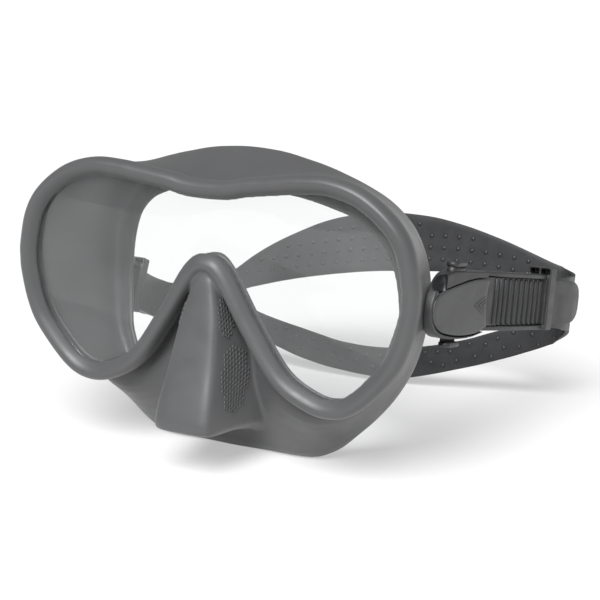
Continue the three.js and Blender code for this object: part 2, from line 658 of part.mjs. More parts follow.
function buckle({ name, s, tilt }) {
  const group = new THREE.Group();
  group.position.set(0, PIVOT_Y, PIVOT_Z);
  group.rotation.x = THREE.MathUtils.degToRad(tilt);
  const x = railX(ROLLER_Y);
  const parts = [
    ["buckle_body", buckleBody(), "shell"],
    ["buckle_cover", cover(), "cover"],
    ["swivel_pin", swivelPin(), "steel"],
    ["swivel_cap", swivelCap(), "shell"],
    ["button_top", button(1), "shell"],
    ["button_bottom", button(-1), "shell"],
    ["spring_top", spring(1), "steel"],
    ["spring_bottom", spring(-1), "steel"],
    ["pawl", pawl(), "shell"],
    ["pawl_pin", cylinderZ(0.8, PAWL_X, PAWL_Y, [-10.7, 10.3], 16), "steel"],
    ["roller", roller(), "shell"],
    ["roller_pin", cylinderZ(1.2, x, ROLLER_Y, [-10.5, 10.5], 16), "steel"],
  ];
  for (const [part, solid, material] of parts) group.add(meshOf(`${part}_${name}`, mirrorX(solid, s), material));
  return group;
}

// ---------------------------------------------------------------- assembly
const mask = new THREE.Group();
mask.name = "diving_mask";
mask.add(skirt(), lens(), strap(), ...SIDES.map(buckle));

// The part's origin is the middle of the underside of its bounding box.
const placed = new THREE.Group();
placed.add(mask);
placed.updateMatrixWorld(true);
const extent = new THREE.Box3().setFromObject(placed, true);
const middle = extent.getCenter(new THREE.Vector3());
mask.position.set(-middle.x, -middle.y, -extent.min.z);

export default placed;
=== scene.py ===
"""Frameless diving mask: soft silicone skirt, single lens, split strap and swivelling buckles."""
import json
import math

import bmesh
import bpy
import numpy as np
from mathutils import Matrix, Vector
from mathutils.bvhtree import BVHTree


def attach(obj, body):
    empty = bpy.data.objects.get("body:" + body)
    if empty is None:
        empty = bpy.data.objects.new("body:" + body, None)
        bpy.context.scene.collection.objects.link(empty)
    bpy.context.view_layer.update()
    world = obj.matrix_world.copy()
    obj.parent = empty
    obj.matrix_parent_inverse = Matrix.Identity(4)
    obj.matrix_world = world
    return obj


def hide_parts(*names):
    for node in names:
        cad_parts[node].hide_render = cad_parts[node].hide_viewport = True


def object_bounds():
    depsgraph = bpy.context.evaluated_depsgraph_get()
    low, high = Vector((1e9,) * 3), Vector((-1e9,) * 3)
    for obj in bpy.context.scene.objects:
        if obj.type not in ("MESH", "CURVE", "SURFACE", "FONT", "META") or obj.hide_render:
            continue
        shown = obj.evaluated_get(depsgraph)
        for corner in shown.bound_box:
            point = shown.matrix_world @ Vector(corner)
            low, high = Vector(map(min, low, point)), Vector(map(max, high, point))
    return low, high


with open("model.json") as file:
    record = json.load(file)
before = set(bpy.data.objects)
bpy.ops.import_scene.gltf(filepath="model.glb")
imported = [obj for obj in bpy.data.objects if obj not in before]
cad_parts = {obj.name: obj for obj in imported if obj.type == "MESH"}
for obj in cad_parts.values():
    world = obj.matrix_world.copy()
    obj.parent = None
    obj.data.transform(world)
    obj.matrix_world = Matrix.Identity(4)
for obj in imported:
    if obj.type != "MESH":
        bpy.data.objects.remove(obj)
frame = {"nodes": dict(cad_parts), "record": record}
CAD_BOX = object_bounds()

MM = 0.001
# The mask's own frame, in millimetres: x = 0 is its middle, y = 0 the rim's crest and z = 0 the
# lens's middle.
PIVOT = np.array([0.0, 30.2, -1.1])
TILT = next(j for j in frame["record"]["behaviour"]["joints"] if j["name"] == "strap_tilt")
ORIGIN = np.array(TILT["pos_m"]) - PIVOT * MM
TILT_PLUS, TILT_MINUS = -10.5, -22.5  # degrees the strap drops towards the back at +X and at -X
BAND_TILT = -19.2  # tilt towards which the band at the back leans at -X
TWIST = (58, 84)  # distances from the middle between which it takes up the side's tilt
SIDES = {"L": (1, TILT_PLUS), "R": (-1, TILT_MINUS)}

# ------------------------------------------------------------------ driving dimensions
# Rim crest [x, z], widest line of the skirt [x, y, z], edge of the face seal [x, y, z]; brow to nose arch.
ROWS = [
    ((0, 35.5), (0, 36, 47.6), (0, 31, 33)),
    ((9, 36), (10, 36, 47.1), (8, 31, 32.7)),
    ((15, 37.3), (17, 36, 46.2), (15, 31, 32.2)),
    ((22, 38.3), (24, 36.3, 44.6), (22, 31.5, 31.2)),
    ((29, 39.2), (31, 36.8, 42.8), (29, 32.5, 29.7)),
    ((36, 40.1), (38, 37.5, 40.4), (36, 34, 27.5)),
    ((48, 40.4), (48, 39, 36), (43.5, 37.5, 24)),
    ((60, 37), (57.5, 40.5, 30.3), (50, 40.5, 18.5)),
    ((71, 29), (65, 42, 22.5), (54.5, 43.5, 12)),
    ((77, 20), (69.5, 43.5, 13), (57.5, 45.5, 4)),
    ((79.8, 8), (71.5, 44.5, 4), (59, 46.5, -4)),
    ((80, 2), (72, 44.5, -3), (59.5, 46.5, -9)),
    ((79.6, -3), (72, 44, -9), (59.5, 46.5, -14)),
    ((77, -14), (71, 42.5, -20), (58, 44.5, -22)),
    ((72.3, -23.5), (68.5, 40.5, -31), (55.5, 41, -31)),
    ((61, -36), (63.5, 38.5, -41.5), (50, 37.5, -40.5)),
    ((52, -40.3), (57.5, 36, -50), (44, 34, -47)),
    ((42, -39), (50.5, 33, -57.5), (37, 32, -52.5)),
    ((29.5, -31.5), (42, 29.5, -64.8), (29, 31, -56.5)),
    ((17, -13.8), (30, 27.5, -69), (20, 31.5, -58.5)),
    ((6.3, 3.6), (14, 27, -69), (10, 31.5, -59)),
    ((0, 7.4), (0, 26, -68.4), (0, 31.5, -59)),
]
STATIONS = 420  # stations round the mask
SECTION_POINTS = 110  # points round the skirt's section at each of them
SKIRT_T = 2.0
SEAL_DEPTH = 5.0  # how far the rearmost ridge stands behind the widest line
RIDGE = (0.58, 0.42)  # shares of the widest line and of the seal's edge in that ridge
CHEEK_BULGE = 8.0  # how far the cheeks come forward
CHEEK_LEVELS = (20, 60)  # below the lens's middle: where that sets in and where it is in full
CHIN_Z = -67.3  # below this the skirt flattens, by at most CHIN_SOFT, so as not to reach under its floor
CHIN_SOFT = 2.0
# Rim section [outward from the crest, depth behind it].
BEAD = [
    (-4.2, 4.1), (-3.4, 2.4), (-1.9, 0.8), (0, 0.0), (1.5, 0.6),
    (2.7, 2.4), (2.9, 4.8), (2.3, 7.2), (1.2, 9.0),
]
NECK = (0.7, 11.0)  # groove behind the rim
SEAT = [(-3.2, 9.9), (-3.2, 8.5), (-1, 8.5), (-1, 5.3)]  # seat of the lens, inside the rim
# Nose [level, front, half width of the front, half width at the root, depth of the root].
NOSE = [
    (4.2, 1.5, 3.2, 4.5, 12),
    (1.2, 0.4, 4.5, 6, 12.2),
    (-3, -0.7, 5.8, 8.5, 12.2),
    (-13, -3.7, 8.2, 12, 12.2),
    (-28, -8.5, 10, 16.5, 12.3),
    (-43, -14.3, 11.4, 18, 15.2),
    (-50.2, -16, 11.4, 18.5, 18.7),
    (-52.7, -12, 10.8, 18.5, 20),
    (-54, -3, 10, 18.5, 20.6),
    (-56.5, 10, 9.5, 18.5, 21.9),
    (-59, 19.2, 9, 18, 23.6),
]
NOSE_LEVELS = 60
NOSE_POINTS = 60  # points of the outline at each level
NOSE_TOP = 2.5  # highest and lowest level of the room inside the nose pocket
NOSE_FLOOR = -53.2
NOSE_OPEN = 8.0  # how far that room runs on behind the skirt's wall
EAR_X = (79.8, 81.8)
EAR_R = 8.0
EAR_FRONT = 5.5
EAR_ROOT = 10.5  # up to this depth the ear is thickened inwards to EAR_ROOT_X
EAR_ROOT_X = 79.5
BORE_R = 3.3
HOLE_SIDES = 40
LENS_SECTION = [(-4.9, 4.5), (-1.6, 5.4), (-1.3, 5.7), (-1.3, 7.9), (-1.7, 8.2)]
VOXEL = 0.62
# Honeycomb grips on the sides of the nose: middle [y, z], half sizes, lean.
GRIPS = [((1.5, -33.5), (6.2, 12.5), 0.2), ((3.0, -11.0), (3.8, 7.0), 0.2)]
CELL_R = 0.95  # hexagonal cell, centre to corner
CELL_PROFILE = ((0.97, -0.25), (0.95, 0.36), (0.74, 0.36), (0.66, -0.25))  # [share of CELL_R, height]
STRAP_T = 1.8
STRAP_HALF = 9.0
STRAP_EDGE = 0.42  # bevel along the edges
STRAP_ROWS = 9  # points across each band
ROLLER_Y = 24
ROLLER_R = 2.2
CLEAR = 0.3
TURN_R = ROLLER_R + CLEAR + STRAP_T / 2  # strap's middle round its roller
STRAP_GAP = 1.25  # from the rails' centre line to the middle of each layer, where the two lie close
CLOSE_Y = 44  # from here back they do
RIB_H = 0.9
RIB_HALF = 0.8
RIB_INSET = 0.15
RIB_START = 8  # first rib, behind the roller
RIB_PITCH = 4.3
RIB_COUNT = 10
TAIL_END = 114.0
TAIL_TIP = 14.0  # length over which the tail's tip narrows, and by how much on each side
TAIL_TRIM = 6.4
BACK_Y = 120.8
BANDS_Y = 90  # behind this the tables of the two bands give the strap's edges
SEAM = (-8.6, 0.4)  # level at which the bands join, at +X and at -X
SPLIT_MIN = 0.4  # narrowest opening of the split
CORNER_R = 7.0
FLARE = (2.8, 81.0, 108.0)  # sideways spread of the strap behind the rails: where it starts and ends
# Upper band at the back [distance along it from the middle, upper edge, lower edge].
UPPER = np.array([
    (-131, 8.8, -13), (-104, 10, -13), (-84, 11.5, -13), (-74, 13.4, -4), (-66, 15.6, 2.2), (-62, 17.6, 4.2),
    (-54, 23.4, 6), (-45, 28.3, 7.9), (-35, 32.4, 9.4), (-25, 35.9, 10.3), (-15, 37.9, 10.9),
    (-1, 38.8, 11.2), (10, 38.5, 11), (17, 37.5, 10.5), (30, 35.2, 9.9), (36, 33.8, 9.6), (50, 29.5, 9),
    (58, 26.7, 8.2), (69, 22.8, 6.4), (74, 20.9, 4.8), (80, 18.7, 0.5), (88, 15.9, -6), (97, 13, -13),
    (110, 10.6, -13), (133, 8.8, -13),
])
# Lower band [distance from the band's middle, upper edge, lower edge].
LOWER_MID = 24
LOWER = np.array([
    (0, -25.3, -39.6), (7, -25.2, -39.2), (18, -24, -37.3), (32, -21, -34), (38, -18.8, -32.4),
    (51, -14.4, -28), (65, -10, -22), (73, -7.3, -17), (80, -4.5, -13.8), (90, 1, -12), (125, 8, -8.8),
])
# Domes on the inner faces of the bands [first, last, pitch] along each band.
UPPER_BUMPS = (-60, 84, 6.6)
LOWER_BUMPS = (-48, 92, 6.9)
BUMP_R = 1.05
BUMP_H = 0.65
POD_X = (82.1, 83.6)  # inner face of the buckle's front end and floor of the room in it
# Its outline from its top rear round the front to its bottom rear [behind the pivot, up].
POD_LINE = [
    (18, 11.1), (9, 11), (0, 10.8), (-8, 10.3), (-14.2, 7.8), (-18.6, 3.3), (-20.4, -2),
    (-19.8, -7.5), (-16.7, -11.2), (-10, -13), (0, -13.3), (9, -12.8), (18, -11.1),
]
COVER_LINE = [
    (16.5, 8.5), (7.4, 7.8), (-5.8, 5.2), (-14, 2.9), (-17.9, 0.6), (-19.2, -3.2),
    (-17.8, -7.4), (-13.4, -10.4), (-6.3, -11.7), (2.9, -12.1), (12, -11.4), (15.5, -10.4),
]
COVER_REAR = [(19.2, -9.2), (20, -8.8), (18.7, -4), (18, 1), (18.3, 5), (19.2, 7.8), (18.6, 8.3)]
COVER_T = 1.4
COVER_SLOPE = 0.187
COVER_X0 = 89.1
COVER_EDGE = ((COVER_T, 0.35), (1.1, 0.0), (0.35, 0.0), (0.1, 0.16), (0.0, 0.5))  # [depth, inset]
COVER_DISH = ((0.86, 0.0), (0.6, 0.12), (0.3, 0.2))  # [share of the outline, depth]
# Chevrons near its rear edge [apex, then how far behind the pivot the tips lie and their half spread].
CHEVRONS = (((9.6, -1.2), (16.6, 3.3)), ((12.4, -1.2), (17.2, 2.3)), ((15.0, -1.2), (17.4, 1.2)))
CHEVRON_R = 0.3
# Hollows over the front of the buckle [middle, radii].
SCOOPS = (((84.9, -15.6, 7.3), (2.2, 6.4, 3.9)), ((85.1, -13.4, 5.6), (1.6, 4.4, 4.2)))
RAIL_X0 = 86.0  # rail centre line at the roller, its slope there and how that slope eases off
RAIL_SLOPE = 0.27
RAIL_CURVE = 0.0014
RAIL_START = 13.4
RAIL_END = 80.5
RAIL_Z = (9.3, 11.1)
RAIL_W = 3.4
BAR_Y = 74.5  # bars of the keeper loop at the rails' ends
BAR_X = (3.5, 5.0)
LOOP_TOP = 14.2
# Windows in the loop's top.
WINDOWS = ((-4.2, -0.4), (0.4, 4.2))
WINDOW_TOP = 13.4
WINDOW_END = 79.2
PAD_TOP = 12.2  # level of the underside of the upper button's pad
PAD_BOTTOM = 14.6
PAD_T = 1.8
BUTTON_FOOT = 8.4
PAD_X = 85.6
PAD_REACH = 4.2  # from the pad's middle to the centres of its round ends
PAD_R = 2.3
PAD_SIDES = 40
# Stem of each button [middle x, half width, half length].
STEMS = {"top": (85.5, 1.85, 6.1), "bottom": (84.95, 1.25, 5.6)}
STEM_HOLE = (4, 20)  # levels between which the hole for it runs
FINE_VOXEL = 0.3


# ------------------------------------------------------------------ curves and meshes
def spline(points, count, closed):
    """Catmull-Rom curve through the points, `count` samples, uniform in the points' own parameter."""
    p = np.asarray(points, float)
    n = len(p)
    t = np.linspace(0, n if closed else n - 1, count, endpoint=not closed)
    i = np.minimum(np.floor(t).astype(int), n - 1 if closed else n - 2)
    f = (t - i)[:, None]
    if closed:
        a, b, c, d = (p[(i + k) % n] for k in (-1, 0, 1, 2))
    else:
        ext = np.vstack([2 * p[0] - p[1], p, 2 * p[-1] - p[-2]])
        a, b, c, d = (ext[i + k] for k in (0, 1, 2, 3))
    return 0.5 * (2 * b + (c - a) * f + (2 * a - 5 * b + 4 * c - d) * f**2 + (3 * b - a - 3 * c + d) * f**3)


def closed_loop(pick):
    """Closed curve through one point of each row and its mirror image, from the brow towards +X."""
    half = [pick(row) for row in ROWS]
    back = [(-x, y, z) for x, y, z in reversed(half[1:-1])]
    return spline(half + back, STATIONS, True)


def smoothstep(x, low, high):
    t = np.clip((np.asarray(x, float) - low) / (high - low), 0, 1)
    return t * t * (3 - 2 * t)


def add_object(name, data):
    obj = bpy.data.objects.new(name, data)
    bpy.context.scene.collection.objects.link(obj)
    return obj


def mesh_object(name, points, faces, smooth=True):
    """Mesh in millimetres of the mask frame, set down in the row frame."""
    mesh = bpy.data.meshes.new(name)
    verts = np.asarray(points, float) * MM + ORIGIN
    mesh.from_pydata([tuple(v) for v in verts], [], [tuple(int(i) for i in f) for f in faces])
    bm = bmesh.new()
    bm.from_mesh(mesh)
    bmesh.ops.remove_doubles(bm, verts=bm.verts, dist=1e-7)
    bmesh.ops.recalc_face_normals(bm, faces=bm.faces)
    bm.to_mesh(mesh)
    bm.free()
    if smooth:
        mesh.shade_smooth()
    return add_object(name, mesh)


def ring_faces(rings, size, closed):
    """Quads between successive rings of `size` points; open stacks get an end cap each."""
    faces = []
    for i in range(rings if closed else rings - 1):
        a, b = i * size, ((i + 1) % rings) * size
        for j in range(size):
            k = (j + 1) % size
            faces.append((a + j, b + j, b + k, a + k))
    if not closed:
        faces.append(tuple(range(size))[::-1])
        faces.append(tuple((rings - 1) * size + j for j in range(size)))
    return faces


def modify(obj, kind, **settings):
    mod = obj.modifiers.new(kind.lower(), kind)
    for key, value in settings.items():
        setattr(mod, key, value)


def bake(obj):
    """Replaces the object's mesh by the result of its modifiers."""
    deps = bpy.context.evaluated_depsgraph_get()
    made = bpy.data.meshes.new_from_object(obj.evaluated_get(deps))
    obj.modifiers.clear()
    old = obj.data
    obj.data = made
    bpy.data.meshes.remove(old)


def cut(obj, other):
    modify(obj, "BOOLEAN", operation="DIFFERENCE", object=other, solver="EXACT")
    bake(obj)
    bpy.data.objects.remove(other)
    return obj


def joined(name, objs):
    """One object of all the objects' meshes, in the order given."""
    bm = bmesh.new()
    for o in objs:
        bm.from_mesh(o.data)
        bpy.data.objects.remove(o)
    mesh = bpy.data.meshes.new(name)
    bm.to_mesh(mesh)
    bm.free()
    mesh.shade_smooth()
    return add_object(name, mesh)


# ------------------------------------------------------------------ skirt
CREST = closed_loop(lambda r: (r[0][0], 0, r[0][1]))
WIDEST = closed_loop(lambda r: r[1])
SEAL = closed_loop(lambda r: r[2])


def outward_normals(loop):
    """Direction away from the lens, in its own plane, at each station."""
    t = np.roll(loop, -1, axis=0) - np.roll(loop, 1, axis=0)
    n = np.stack([-t[:, 2], np.zeros(len(t)), t[:, 0]], axis=1)
    return n / np.linalg.norm(n, axis=1)[:, None]


OUTWARD = outward_normals(CREST)


def offset_ring(section):
    """Crest moved outwards by section[0] and laid at the depth section[1]."""
    ring = CREST + OUTWARD * section[0]
    ring[:, 1] = section[1]
    return ring


def thicken(rings, t):
    """Rings moved by t along the normal of the surface that they lie on."""
    made = []
    for j, ring in enumerate(rings):
        up, down = rings[max(0, j - 1)], rings[min(len(rings) - 1, j + 1)]
        along = np.roll(ring, -1, axis=0) - np.roll(ring, 1, axis=0)
        n = np.cross(along, down - up)
        made.append(ring + n / np.linalg.norm(n, axis=1)[:, None] * t)
    return made


def skirt_wall():
    neck = offset_ring(NECK)
    ridge = WIDEST * RIDGE[0] + SEAL * RIDGE[1]
    ridge[:, 1] = WIDEST[:, 1] + SEAL_DEPTH
    middle = (neck + WIDEST) / 2
    middle[:, 1] -= CHEEK_BULGE * smoothstep(-WIDEST[:, 2], *CHEEK_LEVELS)
    outside = [neck, middle, WIDEST, ridge, SEAL]
    inside = thicken(outside, -SKIRT_T)[::-1]
    loops = [offset_ring(s) for s in BEAD] + outside + inside + [offset_ring(s) for s in SEAT]
    grid = np.stack(loops, axis=1)
    fine = np.stack([spline(section, SECTION_POINTS, True) for section in grid])
    deep = np.maximum(0, CHIN_Z - fine[:, :, 2])
    fine[:, :, 2] += deep - CHIN_SOFT * np.tanh(deep / CHIN_SOFT)
    return mesh_object("wall", fine.reshape(-1, 3), ring_faces(STATIONS, SECTION_POINTS, True))


def nose_rings(change=None):
    """Outlines of the nose from its top down; `change` gives another row for a row, or None to skip it."""
    rows = spline(NOSE, NOSE_LEVELS, False)
    rings = []
    for z, yf, w, root, yb in rows:
        if change:
            made = change(z, yf, w, root, yb)
            if made is None:
                continue
            z, yf, w, root, yb = made
        side = [
            (root, yb),
            (root * 0.55 + w * 0.45 - 0.8, yb * 0.55 + yf * 0.45),
            (w + 0.2, yf + 3.6),
            (w * 0.86, yf + 1),
            (w * 0.45, yf + 0.1),
        ]
        line = side + [(-x, y) for x, y in reversed(side)]
        fine = spline(line, NOSE_POINTS, False)
        rings.append(np.column_stack([fine, np.full(NOSE_POINTS, z)]))
    return rings


def nose_outer():
    rings = nose_rings()
    return mesh_object("nose", np.vstack(rings), ring_faces(len(rings), NOSE_POINTS, False))


def nose_inner():
    def inside(z, yf, w, root, yb):
        floor = z + SKIRT_T * float(smoothstep(-z, 43, 51))
        if z > NOSE_TOP or floor < NOSE_FLOOR:
            return None
        return floor, yf + SKIRT_T, w - SKIRT_T, root - 1.2 * SKIRT_T, yb + NOSE_OPEN

    rings = nose_rings(inside)
    return mesh_object("nose_room", np.vstack(rings), ring_faces(len(rings), NOSE_POINTS, False))


def ear(s):
    """Lug that the swivel pin passes, a rounded tab behind the rim's side."""
    y, z, r = PIVOT[1], PIVOT[2], EAR_R
    line = [(EAR_FRONT, z - r), (y, z - r)]
    line += [(y + r * math.cos(a), z + r * math.sin(a)) for a in np.linspace(-1.5, 1.5, 15)]
    line += [(y, z + r), (EAR_FRONT, z + r)]
    rings = [np.array([(s * x, p, q) for p, q in line]) for x in EAR_X]
    tab = mesh_object("tab", np.vstack(rings), ring_faces(2, len(line), False))
    block = [(EAR_FRONT, z - r), (EAR_ROOT, z - r), (EAR_ROOT, z + r), (EAR_FRONT, z + r)]
    rings = [np.array([(s * x, p, q) for p, q in block]) for x in (EAR_ROOT_X, EAR_X[1])]
    root = mesh_object("root", np.vstack(rings), ring_faces(2, 4, False))
    a = np.linspace(0, 2 * math.pi, HOLE_SIDES, endpoint=False)
    hole = np.column_stack([y + BORE_R * np.cos(a), z + BORE_R * np.sin(a)])
    rings = [np.column_stack([np.full(HOLE_SIDES, s * x), hole]) for x in (EAR_X[0] - 1, EAR_X[1] + 1)]
    return [cut(tab, mesh_object("bore", np.vstack(rings), ring_faces(2, HOLE_SIDES, False))), root]


def skirt():
    wall = cut(skirt_wall(), nose_inner())
    solid_nose = nose_outer()
    grips = nose_grips(solid_nose)
    nose = cut(solid_nose, nose_inner())
    body = joined("skirt_silicone", [wall, nose, *ear(1), *ear(-1)])
    modify(body, "REMESH", mode="VOXEL", voxel_size=VOXEL * MM, use_smooth_shade=True)
    modify(body, "SMOOTH", factor=0.5, iterations=6)
    bake(body)
    body = joined("skirt_silicone", [body, grips])
    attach(body, "mask")
    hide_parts("skirt")
    return body


def lens():
    rings = [offset_ring(s) for s in LENS_SECTION]
    obj = mesh_object("lens_pane", np.vstack(rings), ring_faces(len(rings), STATIONS, False))
    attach(obj, "mask")
    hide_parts("lens")
    return obj


# ------------------------------------------------------------------ strap
def rail_x(y):
    """Centre line of the buckle rails seen from above: x for a distance behind the pivot."""
    t = y - ROLLER_Y
    return RAIL_X0 + RAIL_SLOPE * t - RAIL_CURVE * t * t


def rail_normal(y):
    slope = RAIL_SLOPE - 2 * RAIL_CURVE * (y - ROLLER_Y)
    return np.array([1.0, -slope]) / math.hypot(1, slope)


def layer_spread(y):
    """Distance from the rails' centre line to the middle of each layer of the strap."""
    return TURN_R + (STRAP_GAP - TURN_R) * float(smoothstep(y, ROLLER_Y, CLOSE_Y))


def turned(p, c, d):
    """Points of the strap's own level frame, turned about the pivot by an angle of cosine c and sine d."""
    y = PIVOT[1] + p[:, 1] * c - p[:, 2] * d
    return np.column_stack([p[:, 0], y, PIVOT[2] + p[:, 1] * d + p[:, 2] * c])


def laid(points):
    """Points of the strap's own level frame, tilted to where the strap lies."""
    p = np.asarray(points, float)
    across = BAND_TILT + (TILT_PLUS - BAND_TILT) * smoothstep(p[:, 0], -TWIST[1], TWIST[1])
    a = np.radians(across + (TILT_MINUS - across) * smoothstep(-p[:, 0], *TWIST))
    return turned(p, np.cos(a), np.sin(a))


def strap_line():
    """Plan of the strap from one tail's tip to the other's; the third value is a tail's distance, else 0."""
    def layer(y, side):
        flare = FLARE[0] * float(smoothstep(y, *FLARE[1:]))
        middle = np.array([rail_x(y) + flare, y])
        return [*(middle + rail_normal(y) * side * layer_spread(y)), y if side > 0 else 0]

    line = [layer(y, 1) for y in np.linspace(TAIL_END, ROLLER_Y, 70)]
    n = rail_normal(ROLLER_Y)
    for a in np.linspace(0, math.pi, 26)[1:-1]:
        arm = TURN_R * (math.cos(a) * n + math.sin(a) * np.array([n[1], -n[0]]))
        line.append([rail_x(ROLLER_Y) + arm[0], ROLLER_Y + arm[1], 0])
    line += [layer(y, -1) for y in np.linspace(ROLLER_Y, FLARE[2], 50)]
    x, y = line[-1][0] - CORNER_R, BACK_Y - CORNER_R
    for a in np.linspace(0, math.pi / 2, 18):
        line.append([x + CORNER_R * math.cos(a), y + CORNER_R * math.sin(a), 0])
    line += [[v, BACK_Y, 0] for v in np.linspace(x, 0, 48)[1:]]
    return np.array(line + [[-x, y, tail] for x, y, tail in line[-2::-1]])


def strap_heights(line):
    """Upper edge, upper and lower edge of the split, lower edge, at each station."""
    x, y, tail = line.T
    bend = np.maximum(0, BACK_Y - y)
    up, low = x + np.sign(x) * bend, np.abs(x - LOWER_MID) + bend
    back = (tail == 0) & (y > BANDS_Y)
    top = np.where(back, np.interp(up, UPPER[:, 0], UPPER[:, 1]), STRAP_HALF)
    bottom = np.where(back, np.interp(low, LOWER[:, 0], LOWER[:, 2]), -STRAP_HALF)
    gap_top = np.interp(up, UPPER[:, 0], UPPER[:, 2])
    gap_low = np.interp(low, LOWER[:, 0], LOWER[:, 1])
    reach = 3
    kernel = np.hanning(2 * reach + 3)[1:-1]
    kernel /= kernel.sum()
    padded = (np.pad(v, reach, mode="edge") for v in (top, bottom, gap_top, gap_low))
    top, bottom, gap_top, gap_low = (np.convolve(v, kernel, mode="valid") for v in padded)
    u = np.clip((tail - TAIL_END) / TAIL_TIP + 1, 0, 1)
    trim = TAIL_TRIM * (1 - np.sqrt(1 - u * u))
    return top - trim, bottom + trim, gap_top, gap_low


def station_normals(line):
    t = np.gradient(line[:, :2], axis=0)
    t /= np.linalg.norm(t, axis=1)[:, None]
    return np.column_stack([-t[:, 1], t[:, 0]])


def bar_mesh(ends, across, up, half, height, sink=0.35, sides=7):
    """Rounded rib between two end points, standing `height` proud along `up`."""
    a = np.linspace(0, math.pi, sides)
    profile = [(math.cos(v) * half, math.sin(v) * height) for v in a] + [(-half, -sink), (half, -sink)]
    span = ends[1] - ends[0]
    rings = []
    for t, grow in ((0, 0.35), (0.02, 0.8), (0.05, 1), (0.95, 1), (0.98, 0.8), (1, 0.35)):
        base = ends[0] + span * t
        lifts = [h * grow if h > 0 else h for _, h in profile]
        rings.append(np.array([base + across * w * grow + up * h for (w, _), h in zip(profile, lifts)]))
    return np.vstack(rings), ring_faces(len(rings), len(profile), False)


def dome_mesh(centre, up, radius, height, sink=0.3):
    side = np.cross(up, (0, 0, 1))
    side /= np.linalg.norm(side)
    other = np.cross(up, side)
    rings = []
    for r, h in ((1.0, -sink), (1.0, 0), (0.85, 0.5), (0.5, 0.88), (0.12, 1.0)):
        for a in np.linspace(0, 2 * math.pi, 12, endpoint=False):
            flat = side * math.cos(a) + other * math.sin(a)
            rings.append(centre + flat * radius * r + up * (h if h < 0 else h * height))
    return np.array(rings), ring_faces(5, 12, False)


def strap():
    """Two flat bands, joined but for the split at the back, thickened and given ribs and domes."""
    line = strap_line()
    normal = station_normals(line)
    top, bottom, gap_top, gap_low = strap_heights(line)
    open_here = (gap_top > gap_low + SPLIT_MIN) & (line[:, 1] > BACK_Y - CORNER_R) & (line[:, 2] == 0)
    middle = np.clip(np.where(line[:, 0] > 0, *SEAM), bottom * 0.5, top * 0.5)
    gap_top, gap_low = np.where(open_here, gap_top, middle), np.where(open_here, gap_low, middle)
    rows = STRAP_ROWS
    points, faces = [], []
    for low, high in ((bottom, gap_low), (gap_top, top)):
        start = len(points)
        for i, (x, y, _) in enumerate(line):
            points += [(x, y, z) for z in np.linspace(low[i], high[i], rows)]
        for i in range(len(line) - 1):
            for j in range(rows - 1):
                a = start + i * rows + j
                faces.append((a, a + 1, a + rows + 1, a + rows))
    band = mesh_object("band", laid(points), faces)
    modify(band, "SOLIDIFY", thickness=STRAP_T * MM, offset=0, use_even_offset=True)
    sharp = math.radians(50)
    modify(band, "BEVEL", width=STRAP_EDGE * MM, segments=3, limit_method="ANGLE", angle_limit=sharp)
    bake(band)
    bumps = grip_bumps(line, normal, top, gap_top, gap_low, bottom)
    obj = joined("split_strap", [band, *ribs(), *bumps])
    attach(obj, "headstrap")
    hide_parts("strap")
    return obj


def ribs():
    """Ribs across the outer face of both tails."""
    made = []
    for s in (1, -1):
        for i in range(RIB_COUNT):
            y = ROLLER_Y + RIB_START + i * RIB_PITCH
            n = rail_normal(y)
            base = np.array([rail_x(y), y]) + n * (layer_spread(y) + STRAP_T / 2)
            up = np.array([n[0], n[1], 0])
            across = np.array([-n[1], n[0], 0])
            ends = [np.array([*base, z]) for z in (-STRAP_HALF + RIB_INSET, STRAP_HALF - RIB_INSET)]
            points, faces = bar_mesh(ends, across, up, RIB_HALF, RIB_H)
            points[:, 0] *= s
            made.append(mesh_object("rib", laid(points), faces))
    return made


def grip_bumps(line, normal, top, gap_top, gap_low, bottom):
    """Domes on the inner face of the two bands, in rows that follow the split."""
    made = []
    back = (line[:, 2] == 0) & (line[:, 1] > BACK_Y - CORNER_R)
    x = line[back, 0]
    order = np.argsort(x)

    def at(values, v):
        return np.interp(v, x[order], values[back][order])

    for v in np.arange(*UPPER_BUMPS):
        for row in range(4):
            z = 16.6 + 5.3 * row - 0.0011 * v * v
            if at(gap_top, v) + 2 < z < at(top, v) - 4:
                made.append((v, z))
    for i, v in enumerate(np.arange(*LOWER_BUMPS)):
        for row in range(2):
            z = at(gap_low, v) - 3.6 - 5.0 * row - 1.2 * math.sin(2.4 * i + row)
            if z > at(bottom, v) + 2.6:
                made.append((v + 3.2 * row + 1.1 * math.sin(1.7 * i), z))
    domes = []
    for v, z in made:
        y = float(at(line[:, 1], v))
        n = np.array([at(normal[:, 0], v), at(normal[:, 1], v), 0.0])
        n = -n / np.linalg.norm(n) if n[1] > 0 else n / np.linalg.norm(n)
        centre = np.array([v, y, z]) + n * STRAP_T / 2
        points, faces = dome_mesh(centre, n, BUMP_R, BUMP_H)
        domes.append(mesh_object("dome", laid(points), faces))
    return domes


# ------------------------------------------------------------------ buckle
def buckle_place(side):
    s, tilt = SIDES[side]
    c, d = math.cos(math.radians(tilt)), math.sin(math.radians(tilt))

    def place(points):
        return turned(np.asarray(points, float), c, d) * (s, 1, 1)

    return place


def cover_plane(y, depth=0.0):
    return COVER_X0 + COVER_SLOPE * y - depth


def outline(points, inset=0.0):
    """Curve through the points, moved inwards by `inset`."""
    line = spline(points, 44, False)
    t = np.gradient(line, axis=0)
    t /= np.linalg.norm(t, axis=1)[:, None]
    return line + np.column_stack([-t[:, 1], t[:, 0]]) * inset


def prism(place, line, low, high):
    """Closed outline [y, z] between two heights along x; a height is a number or a function of y."""
    rings = []
    for level in (low, high):
        x = [level(y) if callable(level) else level for y, _ in line]
        rings.append(np.column_stack([x, line]))
    return mesh_object("prism", place(np.vstack(rings)), ring_faces(2, len(line), False))


